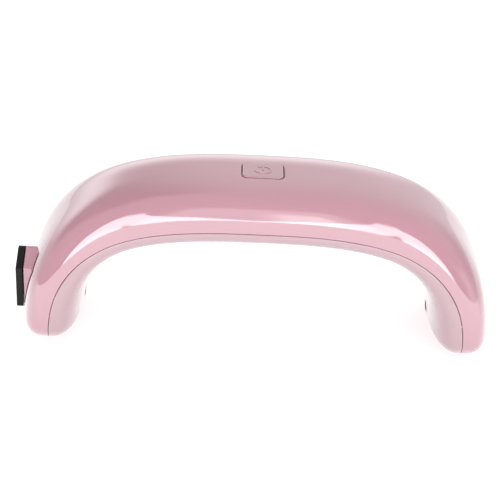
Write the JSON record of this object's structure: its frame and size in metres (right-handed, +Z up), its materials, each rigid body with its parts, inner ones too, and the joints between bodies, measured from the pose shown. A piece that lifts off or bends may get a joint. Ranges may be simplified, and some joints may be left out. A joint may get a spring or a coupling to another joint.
{
  "type": "mini nail lamp",
  "caption": "Arched nail lamp that stands over a hand: two glossy moulded halves, a push button on the crown, a charging inlet on one leg and lit windows underneath.",
  "frame": {"origin": "middle of the footprint, at the height of the flat lands that the legs stand on", "axes": "+X to the right across the arch, away from the leg with the inlet; -Y to the front; +Z up"},
  "size_m": [0.158, 0.052, 0.0574],
  "materials": {
    "gloss_pink_outer": "injection-moulded, high gloss",
    "gloss_pink_inner": "injection-moulded, high gloss",
    "gloss_pink_button": "injection-moulded, high gloss",
    "satin_black": "injection-moulded, satin",
    "component_black": "moulded, fine matte",
    "pressed_steel": "pressed and nickel plated",
    "screw_steel": "zinc plated",
    "can_aluminium": "drawn",
    "ferrite": "pressed and sintered, matte",
    "board_green": "laminate with solder mask",
    "board_white": "laminate with white solder mask",
    "reflector": "vacuum metallised",
    "led_phosphor": "cast resin",
    "clear_lens": "clear, polished",
    "wire_red": "extruded insulation",
    "wire_black": "extruded insulation"
  },
  "bodies": {
    "casing": {"outer_shell": "gloss_pink_outer", "inner_panel": "gloss_pink_inner", "switch_body": "component_black", "switch_cover": "pressed_steel", "switch_dome": "pressed_steel", "control_board": "board_green", "capacitor": "can_aluminium", "driver_coil": "ferrite", "timer_chip": "component_black", "resistor_front": "component_black", "resistor_back": "component_black", "control_screw_left": "screw_steel", "control_screw_right": "screw_steel", "lens_left": "clear_lens", "lens_centre": "clear_lens", "lens_right": "clear_lens", "reflector_left": "reflector", "reflector_centre": "reflector", "reflector_right": "reflector", "led_left": "led_phosphor", "led_centre": "led_phosphor", "led_right": "led_phosphor", "led_board_left": "board_white", "led_board_centre": "board_white", "led_board_right": "board_white", "led_screw_left_front": "screw_steel", "led_screw_left_back": "screw_steel", "led_screw_centre_front": "screw_steel", "led_screw_centre_back": "screw_steel", "led_screw_right_front": "screw_steel", "led_screw_right_back": "screw_steel", "panel_screw_leg_left": "screw_steel", "panel_screw_leg_right": "screw_steel", "panel_screw_arch_left": "screw_steel", "panel_screw_arch_right": "screw_steel", "port_bezel": "satin_black", "usb_shell": "pressed_steel", "usb_tongue": "component_black", "usb_board": "board_green", "inlet_screw_front": "screw_steel", "inlet_screw_back": "screw_steel", "inlet_wire_red": "wire_red", "inlet_wire_black": "wire_black", "led_wire_left_red": "wire_red", "led_wire_left_black": "wire_black", "led_wire_right_red": "wire_red", "led_wire_right_black": "wire_black", "led_wire_centre_red": "wire_red", "led_wire_centre_black": "wire_black"},
    "button": {"power_button": "gloss_pink_button"},
    "plunger": {"switch_plunger": "component_black"}
  },
  "joints": [
    {"name": "button_press", "type": "slide", "parent": "casing", "child": "button", "axis": [0, 0, -1], "range_m": [0, 0.0005], "stiffness_N_per_m": 500, "springref_m": -0.0003},
    {"name": "plunger_press", "type": "slide", "parent": "casing", "child": "plunger", "axis": [0, 0, -1], "range_m": [0, 0.0005]}
  ],
  "couplings": [
    {"joint": "plunger_press", "follows": "button_press", "ratio": 1}
  ]
}
